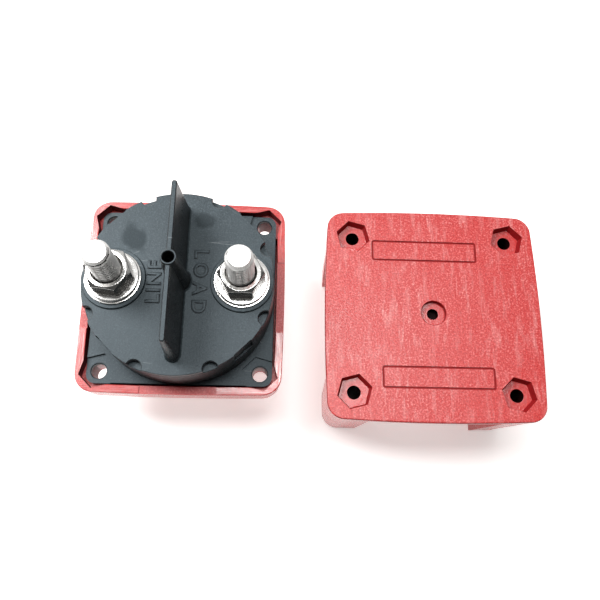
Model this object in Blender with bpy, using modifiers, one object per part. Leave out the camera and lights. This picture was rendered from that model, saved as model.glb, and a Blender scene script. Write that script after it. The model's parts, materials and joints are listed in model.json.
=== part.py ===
"""Panel-mount battery switch with two studs, stood on its knob, and its rear cover beside it.

Units are metres. Constants are in millimetres and are scaled by MM where they are used.
Origin: on the switch's turning axis, in the plane of the knob's flat face. +Z points to the rear (studs).
"""
import math

import bmesh
import bpy
from mathutils import Matrix, Vector

MM = 0.001

# ---- driving dimensions, mm ------------------------------------------------------------
GAP = 0.3                 # running and stacking clearance between separate pieces

BODY_SIZE = 75.0          # front housing, across its corners' straight lines
BODY_BOW = 0.6            # how far each side bulges at its middle
BODY_CORNER = 7.0
BODY_WALL = 3.0
BODY_FRONT_Z = 24.0       # face that lies on a panel
BODY_RIM_Z = 37.0         # rear rim
PANEL_T = 3.0
RIM_STEP = 0.35           # middle of each rim side sits this much lower
RIM_STEP_HALF = 14.0

HOLE_PITCH = 59.1         # mounting holes, square pattern
HOLE_D = 5.6
HEX_AF = 11.5             # hexagonal seats round the mounting holes

PLATE_HALF = 34.15
PLATE_CORNER = 3.5
PLATE_TOP_Z = 35.5
PLATE_T = 3.0
PAD_STEP = 0.95

DRUM_R = 34.1
DRUM_IN_R = 30.6
CAP_TOP_Z = 53.45
CAP_T = 2.65
NOTCH_R = 2.75
NOTCH_FIRST = 22.5        # degrees; eight notches, 45 degrees apart
TAB_HALF = 3.95
TAB_DEPTH = 4.6
TAB_SEAT_R = 33.45

BLADE_HALF = 29.3
BLADE_TOP_HALF = 27.6
BLADE_BASE_T = 4.8
BLADE_TOP_T = 1.9
BLADE_TOP_Z = 76.6
BOSS_TOP_Z = 77.2
BOSS_TOP_R = 2.65
BOSS_BASE_R = 4.2
BOSS_HOLE_R = 1.9

STUD_X = 22.68
STUD_D = 9.525            # 3/8 inch
STUD_TOP_Z = 79.37
NUT_AF = 14.29            # 9/16 inch
NUT_TOP_Z = 64.33
NUT_H = 7.35
WASHER_OD = 18.8
TERMINAL_BOSS_R = 11.3

SHAFT_R = 4.5
KNOB_R = 23.0
KNOB_SKIRT_Z = 19.4
KNOB_TOP_Z = 23.2

COVER_X, COVER_Y = 93.07, -7.33
COVER_TOP_HALF, COVER_TOP_BOW = 39.0, 1.2
COVER_FOOT_HALF, COVER_FOOT_BOW = 37.5, 0.6
COVER_CORNER = 6.0
COVER_H = 46.04
COVER_PLATE = 3.2
COVER_WALL = 2.6
COVER_OPEN_HALF = 24.3
COVER_OPEN_TOP = 42.9

TURN_STEPS = 40

# ---- scene and helpers -----------------------------------------------------------------
for old in list(bpy.data.objects):
    bpy.data.objects.remove(old, do_unlink=True)

PARTS = bpy.data.collections.new("battery_switch")
CUTS = bpy.data.collections.new("cutters")
bpy.context.scene.collection.children.link(PARTS)
bpy.context.scene.collection.children.link(CUTS)


def material(name, colour, rough, metal=0.0):
    mat = bpy.data.materials.new(name)
    mat.use_nodes = True
    shader = mat.node_tree.nodes["Principled BSDF"]
    shader.inputs["Base Color"].default_value = (*colour, 1.0)
    shader.inputs["Roughness"].default_value = rough
    shader.inputs["Metallic"].default_value = metal
    mat.diffuse_color = (*colour, 1.0)
    return mat


RED = (0.62, 0.075, 0.075)
BLACK = (0.045, 0.05, 0.055)
STEEL = (0.78, 0.77, 0.75)


def place(obj, cutter=False):
    (CUTS if cutter else PARTS).objects.link(obj)
    if cutter:
        obj.hide_render = True
        obj.display_type = "WIRE"
    return obj


def from_bmesh(name, bm, cutter=False, smooth=True):
    mesh = bpy.data.meshes.new(name)
    bmesh.ops.recalc_face_normals(bm, faces=bm.faces[:])
    bm.to_mesh(mesh)
    bm.free()
    if smooth:
        mesh.shade_smooth()
        mesh.set_sharp_from_angle(angle=math.radians(35))
    return place(bpy.data.objects.new(name, mesh), cutter)


def turned(name, profile, steps=TURN_STEPS, at=(0, 0), cutter=False, ring=True):
    """Revolve a profile of (radius, z) points, which runs down its outer side. A ring closes on itself."""
    mesh = bpy.data.meshes.new(name)
    points = [(r * MM, 0, z * MM) for r, z in profile]
    edges = [(i, i + 1) for i in range(len(points) - 1)]
    if ring:
        edges.append((len(points) - 1, 0))
    mesh.from_pydata(points, edges, [])
    obj = place(bpy.data.objects.new(name, mesh), cutter)
    screw = obj.modifiers.new("turn", "SCREW")
    screw.axis = "Z"
    screw.angle = 2 * math.pi
    screw.steps = screw.render_steps = steps
    screw.use_merge_vertices = True
    screw.merge_threshold = 0.00001
    screw.use_smooth_shade = True
    obj.location = (at[0] * MM, at[1] * MM, 0)
    return obj


def box(name, low, high, cutter=False, turn=0.0, about=(0, 0)):
    bm = bmesh.new()
    size = [(b - a) * MM for a, b in zip(low, high)]
    mid = [(b + a) / 2 * MM for a, b in zip(low, high)]
    bmesh.ops.create_cube(bm, size=1.0, matrix=Matrix.Translation(mid) @ Matrix.Diagonal((*size, 1)))
    if turn:
        bmesh.ops.rotate(bm, verts=bm.verts[:], cent=(about[0] * MM, about[1] * MM, 0), matrix=Matrix.Rotation(turn, 3, "Z"))
    return from_bmesh(name, bm, cutter, smooth=False)


def cylinder(name, at, radius, z0, z1, steps=TURN_STEPS, cutter=False, turn=0.0, top_radius=None):
    bm = bmesh.new()
    bmesh.ops.create_cone(
        bm, cap_ends=True, segments=steps, radius1=radius * MM,
        radius2=(radius if top_radius is None else top_radius) * MM, depth=(z1 - z0) * MM,
        matrix=Matrix.Translation((at[0] * MM, at[1] * MM, (z0 + z1) / 2 * MM)) @ Matrix.Rotation(turn, 4, "Z"),
    )
    return from_bmesh(name, bm, cutter)


def outline(half, corner, bow=0.0, arc=5, side=4):
    """A square with round corners and slightly bulging sides, anticlockwise."""
    flat = half - corner
    rise = lambda t: bow * (1 - (t / half) ** 2)
    points = []
    for quarter in range(4):
        spin = quarter * math.pi / 2
        local = []
        for i in range(side):
            t = flat * (2 * i / side - 1)
            local.append((half + rise(t), t))
        shift = rise(flat)
        for i in range(arc + 1):
            a = math.pi / 2 * i / arc
            local.append((flat + shift + corner * math.cos(a), flat + shift + corner * math.sin(a)) if i not in (0, arc)
                         else ((half + shift, flat) if i == 0 else (flat, half + shift)))
        local.pop()
        points += [(x * math.cos(spin) - y * math.sin(spin), x * math.sin(spin) + y * math.cos(spin)) for x, y in local]
    return points


def stadium(length, width, arc=8):
    """A bar with half-round ends, along X."""
    r = width / 2
    c = length / 2 - r
    return ([(c + r * math.cos(a), r * math.sin(a)) for a in (math.pi * (i / arc - 0.5) for i in range(arc + 1))]
            + [(-c + r * math.cos(a), r * math.sin(a)) for a in (math.pi * (i / arc + 0.5) for i in range(arc + 1))])


def loft(name, sections, at=(0, 0), cutter=False, turn=0.0):
    """Skin a closed body through sections of (z, points), which all have the same number of points."""
    bm = bmesh.new()
    rings = [[bm.verts.new((x * MM, y * MM, z * MM)) for x, y in points] for z, points in sections]
    bm.faces.new(rings[0][::-1])
    bm.faces.new(rings[-1])
    for low, high in zip(rings, rings[1:]):
        for i in range(len(low)):
            j = (i + 1) % len(low)
            bm.faces.new((low[i], low[j], high[j], high[i]))
    if turn:
        bmesh.ops.rotate(bm, verts=bm.verts[:], matrix=Matrix.Rotation(turn, 3, "Z"))
    bmesh.ops.translate(bm, verts=bm.verts[:], vec=(at[0] * MM, at[1] * MM, 0))
    return from_bmesh(name, bm, cutter)


def boolean(obj, other, operation="DIFFERENCE"):
    mod = obj.modifiers.new(operation.lower() + "_" + other.name, "BOOLEAN")
    mod.operation = operation
    mod.solver = "EXACT"
    mod.object = other
    return obj


def cut(obj, *others):
    for other in others:
        boolean(obj, other)


def join(obj, *others):
    for other in others:
        boolean(obj, other, "UNION")


def wire(name, points, radius, cutter=False):
    """A closed-ended round wire along the points, made a mesh."""
    curve = bpy.data.curves.new(name, "CURVE")
    curve.dimensions = "3D"
    spline = curve.splines.new("POLY")
    spline.points.add(len(points) - 1)
    for slot, p in zip(spline.points, points):
        slot.co = (p[0] * MM, p[1] * MM, p[2] * MM, 1)
    curve.bevel_depth = radius * MM
    curve.bevel_resolution = 1
    curve.use_fill_caps = True
    return place(bpy.data.objects.new(name, curve), cutter)


def finish(obj, mat, pivot=None):
    obj.data.materials.append(mat)
    if pivot is not None:
        obj.parent = pivot
    return obj


def corners():
    for sx in (-1, 1):
        for sy in (-1, 1):
            yield sx, sy, (sx * HOLE_PITCH / 2, sy * HOLE_PITCH / 2)


def joint_empty(name, at):
    empty = bpy.data.objects.new(name, None)
    empty.location = [c * MM for c in at]
    empty.empty_display_size = 0.01
    PARTS.objects.link(empty)
    return empty


KNOB_AXIS = joint_empty("knob_turn_axis", (0, 0, 0))
COVER_GUIDE = joint_empty("cover_lift_axis", (COVER_X, COVER_Y, 0))
COVER_GUIDE_INVERSE = Matrix.Translation((-COVER_X * MM, -COVER_Y * MM, 0))

mats = {
    "red": material("red_plastic", RED, 0.5),
    "red_cover": material("red_cover_plastic", RED, 0.5),
    "red_knob": material("red_knob_plastic", RED, 0.45),
    "black": material("black_plastic", BLACK, 0.55),
    "black_cap": material("black_cap_plastic", BLACK, 0.5),
    "rotor": material("natural_plastic", (0.6, 0.57, 0.5), 0.5),
    "stud": material("tinned_stud", STEEL, 0.25, 1.0),
    "nut": material("plated_nut", STEEL, 0.2, 1.0),
    "washer": material("plated_washer", STEEL, 0.28, 1.0),
    "copper": material("copper_contact", (0.75, 0.38, 0.22), 0.3, 1.0),
    "spring": material("spring_steel", (0.55, 0.56, 0.58), 0.3, 1.0),
    "rubber": material("seal_rubber", (0.02, 0.02, 0.02), 0.8),
    "label": material("label_white", (0.85, 0.85, 0.83), 0.4),
    "shaft": material("shaft_brass", (0.72, 0.55, 0.28), 0.3, 1.0),
}

# ---- front housing: a shallow square tray, open to the rear ---------------------------------
BH = BODY_SIZE / 2
inner = BH - BODY_WALL
housing = loft("front_housing", [
    (BODY_FRONT_Z, outline(BH - 1.2, BODY_CORNER - 0.8, BODY_BOW)),
    (BODY_FRONT_Z + 1.0, outline(BH - 0.45, BODY_CORNER - 0.3, BODY_BOW)),
    (BODY_RIM_Z - 0.4, outline(BH, BODY_CORNER, BODY_BOW)),
    (BODY_RIM_Z, outline(BH - 0.3, BODY_CORNER - 0.2, BODY_BOW)),
])
cut(housing, loft("cut_housing_bowl", [
    (BODY_FRONT_Z + PANEL_T, outline(inner - 0.15, 4.0, BODY_BOW, arc=4)),
    (BODY_RIM_Z + 1, outline(inner, 4.0, BODY_BOW, arc=4)),
], cutter=True))
join(housing, turned("join_gasket_rib", [(32.0, 31.3), (32.0, 26.5), (29.0, 26.5), (29.0, 31.3)], cutter=True))
join(housing, cylinder("join_shaft_collar", (0, 0), 10.0, 26.5, 30.5, 32, cutter=True))
for sx, sy, at in corners():
    join(housing, cylinder(f"join_post_{sx}_{sy}", at, 6.1, 26.0, 32.15, 16, cutter=True, turn=math.pi / 16))
hex_r = lambda af: af / 2 / math.cos(math.pi / 6)
for sx, sy, at in corners():
    diagonal = math.atan2(sy, sx)
    cut(housing,
        cylinder(f"cut_rim_hex_{sx}_{sy}", at, hex_r(HEX_AF + 0.5), 32.15, 38.0, 6, cutter=True, turn=diagonal),
        cylinder(f"cut_mount_hole_{sx}_{sy}", at, HOLE_D / 2, 23.0, 34.0, 16, cutter=True))
cut(housing,
    cylinder("cut_shaft_bore", (0, 0), SHAFT_R + GAP, 23.0, 31.0, 32, cutter=True),
    cylinder("cut_seal_seat", (0, 0), 7.4, 23.0, 26.5, 32, cutter=True),
    turned("cut_label_seat", [(34.4, 24.45), (34.4, 23.0), (24.6, 23.0), (24.6, 24.45)], cutter=True))
for k in range(4):
    cut(housing, box(f"cut_rim_step_{k}", (33.0, -RIM_STEP_HALF, BODY_RIM_Z - RIM_STEP), (40.0, RIM_STEP_HALF, 38.5), cutter=True, turn=k * math.pi / 2))
finish(housing, mats["red"])

finish(turned("dial_ring", [(34.1, 24.15), (34.1, 23.75), (24.9, 23.75), (24.9, 24.15)]), mats["label"])
finish(turned("shaft_seal", [(7.1, 26.2), (7.1, 24.3), (4.85, 24.3), (4.85, 26.2)], 32), mats["rubber"])
finish(turned("body_gasket", [(31.8, 32.2), (31.8, 31.6), (29.2, 31.6), (29.2, 32.2)]), mats["rubber"])

detent = turned("detent_ring", [(28.0, 35.0), (28.0, 27.3), (23.0, 27.3), (23.0, 35.0)])
for k in range(4):
    a = k * math.pi / 2
    cut(detent, cylinder(f"cut_detent_{k}", (23.0 * math.cos(a), 23.0 * math.sin(a)), 2.4, 31.5, 36.0, 12, cutter=True))
finish(detent, mats["rotor"])

# ---- base plate with its drum wall ----------------------------------------------------------
drum_top = CAP_TOP_Z - CAP_T - GAP
plate = loft("base_plate", [
    (PLATE_TOP_Z - PLATE_T, outline(PLATE_HALF - 0.1, PLATE_CORNER)),
    (PLATE_TOP_Z, outline(PLATE_HALF, PLATE_CORNER)),
])
join(plate, cylinder("join_drum", (0, 0), DRUM_R, PLATE_TOP_Z - 1.5, drum_top, 72, cutter=True))
cut(plate,
    cylinder("cut_drum_inside", (0, 0), DRUM_IN_R, PLATE_TOP_Z, drum_top + 1, 48, cutter=True),
    cylinder("cut_plate_opening", (0, 0), 28.4, PLATE_TOP_Z - PLATE_T - 1, PLATE_TOP_Z + 1, 48, cutter=True))
for sx, sy, at in corners():
    diagonal = math.atan2(sy, sx)
    cut(plate,
        cylinder(f"cut_pad_{sx}_{sy}", at, hex_r(HEX_AF), PLATE_TOP_Z - PAD_STEP, PLATE_TOP_Z + 1, 6, cutter=True, turn=diagonal),
        cylinder(f"cut_plate_hole_{sx}_{sy}", at, HOLE_D / 2, 31.0, 36.0, 16, cutter=True),
        box(f"cut_tab_seat_{sx}_{sy}", (TAB_SEAT_R - 1.2, -TAB_HALF - GAP, drum_top - TAB_DEPTH - 0.4), (36.0, TAB_HALF + GAP, drum_top + 1), cutter=True, turn=diagonal))
finish(plate, mats["black"])

# ---- rear cap: disc, snap tabs, terminal bosses, divider blade and screw boss ---------------
cap = cylinder("rear_cap", (0, 0), DRUM_R, CAP_TOP_Z - CAP_T, CAP_TOP_Z, 72)
for sx, sy, at in corners():
    diagonal = math.atan2(sy, sx)
    cut(cap, box(f"cut_cap_flat_{sx}_{sy}", (TAB_SEAT_R, -TAB_HALF - 0.05, CAP_TOP_Z - CAP_T - 1), (36.0, TAB_HALF + 0.05, CAP_TOP_Z + 1), cutter=True, turn=diagonal))
    join(cap, box(f"join_tab_{sx}_{sy}", (TAB_SEAT_R - 0.9, -TAB_HALF + 0.2, drum_top - TAB_DEPTH + 0.2), (TAB_SEAT_R - 0.05, TAB_HALF - 0.2, CAP_TOP_Z - CAP_T + 0.5), cutter=True, turn=diagonal))
for k in range(8):
    a = math.radians(NOTCH_FIRST + 45 * k)
    cut(cap, cylinder(f"cut_notch_{k}", (DRUM_R * math.cos(a), DRUM_R * math.sin(a)), NOTCH_R, CAP_TOP_Z - CAP_T - 1, CAP_TOP_Z + 1, 16, cutter=True))
for s in (-1, 1):
    join(cap, cylinder(f"join_terminal_boss_{s}", (s * STUD_X, 0), TERMINAL_BOSS_R, CAP_TOP_Z - 1, CAP_TOP_Z + 0.9, 40, cutter=True))
blade_base = [(y, x) for x, y in stadium(2 * BLADE_HALF, BLADE_BASE_T, 6)][::-1]
blade_top = [(y, x) for x, y in stadium(2 * BLADE_TOP_HALF, BLADE_TOP_T, 6)][::-1]
join(cap, loft("join_blade", [(CAP_TOP_Z - 1, blade_base), (BLADE_TOP_Z, blade_top)], cutter=True))
join(cap, cylinder("join_cover_boss", (0, 0), BOSS_BASE_R, CAP_TOP_Z - 1.2, BOSS_TOP_Z, 24, cutter=True, top_radius=BOSS_TOP_R))
cut(cap, cylinder("cut_boss_hole", (0, 0), BOSS_HOLE_R, CAP_TOP_Z + 6, BOSS_TOP_Z + 1, 20, cutter=True))
for s in (-1, 1):
    cut(cap, cylinder(f"cut_stud_hole_{s}", (s * STUD_X, 0), STUD_D / 2 + 0.35, CAP_TOP_Z - CAP_T - 1, CAP_TOP_Z + 3, 28, cutter=True))
finish(cap, mats["black_cap"])

# ---- terminals -------------------------------------------------------------------------------
cap_bottom = CAP_TOP_Z - CAP_T
boss_top = CAP_TOP_Z + 0.9
r = STUD_D / 2
for label, s, nut_turn in (("input", -1, 23.0), ("output", 1, 30.0)):
    at = (s * STUD_X, 0)
    stud = turned(f"{label}_stud", [
        (0, STUD_TOP_Z), (r - 1.0, STUD_TOP_Z), (r - 0.85, STUD_TOP_Z - 0.15), (r - 0.1, STUD_TOP_Z - 1.6), (r - 0.1, cap_bottom - 0.2),
        (7.5, cap_bottom - 0.5), (7.5, cap_bottom - 3.7), (7.0, cap_bottom - 3.9), (0, cap_bottom - 3.9),
    ], 28, at, ring=False)
    finish(stud, mats["stud"])
    seat = boss_top + 0.1
    finish(turned(f"{label}_contact_washer", [(9.9, seat + 0.75), (9.9, seat), (r + 0.35, seat), (r + 0.35, seat + 0.75)], 32, at), mats["washer"])
    low = seat + 0.85
    top = NUT_TOP_Z - NUT_H - 0.1
    finish(turned(f"{label}_washer", [
        (WASHER_OD / 2 - 0.3, top), (WASHER_OD / 2, top - 0.3), (WASHER_OD / 2, low + 0.2), (WASHER_OD / 2 - 0.2, low), (r + 0.35, low), (r + 0.35, top),
    ], 32, at), mats["washer"])
    nut = cylinder(f"{label}_nut", at, hex_r(NUT_AF), NUT_TOP_Z - NUT_H, NUT_TOP_Z, 6, turn=math.radians(nut_turn))
    nut_crown = turned(f"cut_{label}_nut_crown", [
        (hex_r(NUT_AF) + 3, NUT_TOP_Z + 2), (hex_r(NUT_AF) + 3, NUT_TOP_Z - 3.2), (hex_r(NUT_AF) + 1.0, NUT_TOP_Z - 1.45), (NUT_AF / 2 - 0.35, NUT_TOP_Z + 0.02), (NUT_AF / 2 - 0.35, NUT_TOP_Z + 2),
    ], 36, at, cutter=True)
    cut(nut, nut_crown, turned(f"cut_{label}_nut_bore", [
        (0, NUT_TOP_Z + 1), (r + 1.6, NUT_TOP_Z + 1), (r + 0.25, NUT_TOP_Z - 0.9), (r + 0.25, NUT_TOP_Z - NUT_H - 1), (0, NUT_TOP_Z - NUT_H - 1),
    ], 28, at, cutter=True, ring=False))
    finish(nut, mats["nut"])
    finish(turned(f"{label}_stud_seal", [(r + 0.28, CAP_TOP_Z), (r + 0.28, cap_bottom + 0.3), (r, cap_bottom + 0.3), (r, CAP_TOP_Z)], 20, at), mats["rubber"])

# ---- knob, shaft and rotor --------------------------------------------------------------------
knob = turned("knob", [
    (0, KNOB_TOP_Z), (KNOB_R - 0.6, KNOB_TOP_Z), (KNOB_R, KNOB_TOP_Z - 0.6), (KNOB_R - 0.2, KNOB_SKIRT_Z + 0.6), (KNOB_R - 1.4, KNOB_SKIRT_Z - 0.4), (0, KNOB_SKIRT_Z - 0.4),
], 48, ring=False)
grip_top, grip_mid, grip_low = stadium(40.0, 15.0), stadium(41.0, 15.6), stadium(43.4, 18.6)
join(knob, loft("join_grip", [(0.0, stadium(38.4, 13.4)), (0.9, grip_top), (2.0, grip_mid), (KNOB_SKIRT_Z + 1.0, grip_low)], cutter=True))
cut(knob,
    cylinder("cut_knob_bore", (0, 0), SHAFT_R + GAP, 8.0, KNOB_TOP_Z + 1, 32, cutter=True))
set_hole = cylinder("cut_set_screw", (0, 0), 1.75, 3.0, 14.0, 12, cutter=True)
set_hole.rotation_euler = (math.radians(-90), 0, 0)
set_hole.location = (0, 0, 14.0 * MM)
cut(knob, set_hole)
pointer_seat = box("cut_pointer", (7.0, -1.3, -1.0), (17.2, 1.3, 0.75), cutter=True)
cut(knob, pointer_seat)
finish(knob, mats["red_knob"], KNOB_AXIS)
finish(box("knob_pointer", (7.2, -1.1, 0.2), (17.0, 1.1, 0.6)), mats["label"], KNOB_AXIS)

set_screw = cylinder("knob_set_screw", (0, 0), 1.45, 4.85, 8.1, 12)
cut(set_screw, cylinder("cut_set_socket", (0, 0), 0.8, 6.7, 9.0, 6, cutter=True))
# the cutter is built along Z as the screw is, so both are turned to the radial direction together
for obj in (set_screw, bpy.data.objects["cut_set_socket"]):
    obj.rotation_euler = (math.radians(-90), 0, 0)
    obj.location = (0, 0, 14.0 * MM)
finish(set_screw, mats["spring"], KNOB_AXIS)

shaft = turned("drive_shaft", [
    (0, 32.2), (SHAFT_R, 32.2), (SHAFT_R, 31.75), (3.7, 31.75), (3.7, 30.75), (SHAFT_R, 30.75), (SHAFT_R, 9.0), (SHAFT_R - 0.7, 8.3), (0, 8.3),
], 32, ring=False)
join(shaft, box("join_shaft_square", (-3.1, -3.1, 31.9), (3.1, 3.1, 36.2), cutter=True))
finish(shaft, mats["shaft"], KNOB_AXIS)

clip = turned("retaining_clip", [(7.0, 31.55), (7.0, 30.95), (4.0, 30.95), (4.0, 31.55)], 32)
cut(clip, box("cut_clip_mouth", (-2.4, 2.5, 30.0), (2.4, 9.0, 33.0), cutter=True))
finish(clip, mats["spring"], KNOB_AXIS)

rotor = turned("rotor", [
    (0, 45.6), (18.4, 45.6), (19.0, 45.0), (19.0, 36.0), (21.6, 36.0), (22.0, 35.6), (22.0, 32.5), (0, 32.5),
], 48, ring=False)
cut(rotor,
    box("cut_rotor_drive", (-3.4, -3.4, 31.0), (3.4, 3.4, 36.5), cutter=True),
    box("cut_bridge_slot", (-6.4, -25.0, 42.0), (6.4, 25.0, 47.0), cutter=True),
    cylinder("cut_spring_pocket", (0, 0), 6.2, 38.0, 43.0, 24, cutter=True))
for s in (-1, 1):
    bore = cylinder(f"cut_ball_bore_{s}", (0, 0), 1.45, 9.0, 24.0, 14, cutter=True)
    bore.rotation_euler = (0, math.radians(90 * s), 0)
    bore.location = (0, 0, 34.2 * MM)
    cut(rotor, bore)
finish(rotor, mats["rotor"], KNOB_AXIS)

bridge = loft("contact_bridge", [(44.2, [(y, x) for x, y in stadium(56.6, 11.8, 4)][::-1]), (46.55, [(y, x) for x, y in stadium(56.6, 11.8, 4)][::-1])])
finish(bridge, mats["copper"], KNOB_AXIS)

turns, per_turn = 3.0, 10
coil = [(4.6 * math.cos(2 * math.pi * i / per_turn), 4.6 * math.sin(2 * math.pi * i / per_turn), 38.95 + (43.3 - 38.95) * i / (turns * per_turn))
        for i in range(int(turns * per_turn) + 1)]
finish(wire("contact_spring", coil, 0.55), mats["spring"], KNOB_AXIS)

for tag, s in (("a", -1), ("b", 1)):
    bm = bmesh.new()
    bmesh.ops.create_uvsphere(bm, u_segments=12, v_segments=6, radius=1.2 * MM, matrix=Matrix.Translation((s * 21.3 * MM, 0, 34.2 * MM)))
    finish(from_bmesh(f"detent_ball_{tag}", bm), mats["spring"], KNOB_AXIS)
    count = 4 * 6
    path = [(s * (9.6 + 9.8 * i / count), 0.85 * math.cos(2 * math.pi * i / 6), 34.2 + 0.85 * math.sin(2 * math.pi * i / 6)) for i in range(count + 1)]
    finish(wire(f"detent_spring_{tag}", path, 0.25), mats["spring"], KNOB_AXIS)

# ---- rear cover: plate on four corner legs ---------------------------------------------------
cx, cy = COVER_X, COVER_Y
cover = loft("rear_cover", [
    (0.0, outline(COVER_FOOT_HALF - 0.3, COVER_CORNER, COVER_FOOT_BOW)),
    (0.4, outline(COVER_FOOT_HALF, COVER_CORNER, COVER_FOOT_BOW)),
    (COVER_H - 0.7, outline(COVER_TOP_HALF, COVER_CORNER, COVER_TOP_BOW)),
    (COVER_H, outline(COVER_TOP_HALF - 0.55, COVER_CORNER - 0.5, COVER_TOP_BOW)),
], at=(cx, cy))
cut(cover, loft("cut_cover_inside", [
    (-1.0, outline(COVER_FOOT_HALF - COVER_WALL, 3.6, COVER_FOOT_BOW, arc=4)),
    (COVER_H - COVER_PLATE, outline(COVER_TOP_HALF - COVER_WALL - 0.2, 3.6, COVER_TOP_BOW, arc=4)),
], at=(cx, cy), cutter=True))
reach = HOLE_PITCH / 2 * math.sqrt(2)
for sx, sy, at in corners():
    join(cover,
        box(f"join_leg_web_{sx}_{sy}", (cx + reach, cy - 3.2, 0.9), (cx + 50.1, cy + 3.2, COVER_H - COVER_PLATE + 0.7), cutter=True, turn=math.atan2(sy, sx), about=(cx, cy)),
        cylinder(f"join_leg_tube_{sx}_{sy}", (cx + at[0], cy + at[1]), 4.95, 0.45, COVER_H - COVER_PLATE + 0.9, 20, cutter=True, turn=math.pi / 20))
# the centre boss stops just short of the blade's boss when the cover stands on the rim
join(cover, cylinder("join_centre_boss", (cx, cy), 6.5, COVER_H - COVER_PLATE - 2.5, COVER_H - COVER_PLATE + 0.6, 24, cutter=True))
for k in range(4):
    cut(cover, box(f"cut_cable_opening_{k}", (cx + 30.0, cy - COVER_OPEN_HALF, -1.0), (cx + 45.0, cy + COVER_OPEN_HALF, COVER_OPEN_TOP), cutter=True, turn=k * math.pi / 2, about=(cx, cy)))
for sx, sy, at in corners():
    diagonal = math.atan2(sy, sx)
    cut(cover,
        cylinder(f"cut_bolt_seat_{sx}_{sy}", (cx + at[0], cy + at[1]), hex_r(9.8), COVER_H - 2.95, COVER_H + 1, 6, cutter=True, turn=diagonal, top_radius=hex_r(11.8)),
        cylinder(f"cut_bolt_hole_{sx}_{sy}", (cx + at[0], cy + at[1]), 2.5, -1, COVER_H, 16, cutter=True))
cut(cover,
    cylinder("cut_centre_sink", (cx, cy), 4.6, COVER_H - 2.0, COVER_H + 1, 28, cutter=True),
    cylinder("cut_centre_hole", (cx, cy), 2.1, COVER_H - 5.1, COVER_H, 20, cutter=True))
finish(cover, mats["red_cover"], COVER_GUIDE)
cover.matrix_parent_inverse = COVER_GUIDE_INVERSE
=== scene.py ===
"""Looks for the battery switch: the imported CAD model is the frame, and every visible piece is rebuilt finely on it."""

import json
import math

import bmesh
import bpy
from mathutils import Matrix, Vector
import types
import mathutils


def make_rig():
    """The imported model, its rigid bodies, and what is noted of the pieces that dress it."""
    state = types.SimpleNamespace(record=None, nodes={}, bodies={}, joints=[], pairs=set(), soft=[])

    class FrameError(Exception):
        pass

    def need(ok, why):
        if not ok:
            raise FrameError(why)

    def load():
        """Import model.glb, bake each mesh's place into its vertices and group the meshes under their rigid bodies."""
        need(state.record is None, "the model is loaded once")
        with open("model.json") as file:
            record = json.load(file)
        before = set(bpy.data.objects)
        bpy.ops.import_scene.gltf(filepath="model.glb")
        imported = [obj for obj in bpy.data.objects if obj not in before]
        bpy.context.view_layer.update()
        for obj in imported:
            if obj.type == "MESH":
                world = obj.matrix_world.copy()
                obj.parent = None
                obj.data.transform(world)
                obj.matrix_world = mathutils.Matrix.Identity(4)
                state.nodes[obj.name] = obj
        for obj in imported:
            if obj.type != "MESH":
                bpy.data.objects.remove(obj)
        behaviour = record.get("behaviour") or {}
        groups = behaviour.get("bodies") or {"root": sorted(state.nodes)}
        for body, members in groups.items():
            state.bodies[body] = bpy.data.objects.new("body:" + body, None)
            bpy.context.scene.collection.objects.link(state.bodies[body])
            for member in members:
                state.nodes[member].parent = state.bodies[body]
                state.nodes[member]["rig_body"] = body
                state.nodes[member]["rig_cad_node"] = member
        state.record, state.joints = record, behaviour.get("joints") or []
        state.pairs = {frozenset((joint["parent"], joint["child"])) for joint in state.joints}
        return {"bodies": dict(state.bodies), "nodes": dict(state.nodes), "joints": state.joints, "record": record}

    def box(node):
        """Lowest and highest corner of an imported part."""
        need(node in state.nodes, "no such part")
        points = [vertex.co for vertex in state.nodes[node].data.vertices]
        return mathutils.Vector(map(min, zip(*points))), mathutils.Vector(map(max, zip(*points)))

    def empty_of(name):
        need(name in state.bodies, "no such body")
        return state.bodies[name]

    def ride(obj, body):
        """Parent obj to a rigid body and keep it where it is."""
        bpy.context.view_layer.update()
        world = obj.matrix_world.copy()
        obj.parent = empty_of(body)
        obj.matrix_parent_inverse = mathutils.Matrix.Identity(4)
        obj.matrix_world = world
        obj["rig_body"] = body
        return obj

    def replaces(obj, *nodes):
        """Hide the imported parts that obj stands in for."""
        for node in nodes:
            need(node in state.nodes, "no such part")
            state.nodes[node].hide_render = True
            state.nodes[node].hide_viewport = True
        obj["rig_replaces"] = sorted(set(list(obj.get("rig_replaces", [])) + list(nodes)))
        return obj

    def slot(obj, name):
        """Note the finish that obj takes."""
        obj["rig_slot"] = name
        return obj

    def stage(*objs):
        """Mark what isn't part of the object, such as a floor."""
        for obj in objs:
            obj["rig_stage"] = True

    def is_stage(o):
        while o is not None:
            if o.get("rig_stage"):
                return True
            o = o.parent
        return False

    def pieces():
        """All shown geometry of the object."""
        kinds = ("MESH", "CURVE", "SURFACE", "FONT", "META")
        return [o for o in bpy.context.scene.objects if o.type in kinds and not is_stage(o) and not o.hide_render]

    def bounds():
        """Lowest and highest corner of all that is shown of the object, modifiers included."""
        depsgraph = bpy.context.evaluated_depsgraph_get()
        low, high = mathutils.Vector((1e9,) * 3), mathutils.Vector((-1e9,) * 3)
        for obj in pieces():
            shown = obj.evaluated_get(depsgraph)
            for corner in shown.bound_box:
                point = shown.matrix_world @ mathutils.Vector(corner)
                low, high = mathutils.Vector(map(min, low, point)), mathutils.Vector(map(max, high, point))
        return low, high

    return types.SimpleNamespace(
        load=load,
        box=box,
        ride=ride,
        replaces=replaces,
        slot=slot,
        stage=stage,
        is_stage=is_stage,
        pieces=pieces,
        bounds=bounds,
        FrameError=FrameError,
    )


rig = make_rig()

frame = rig.load()


def plain(bounds):
    return [[float(c) for c in corner] for corner in bounds]


CAD_BOUNDS = plain(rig.bounds())
NODES = frame["nodes"]
SCENE = bpy.context.scene
MM = 0.001

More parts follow.
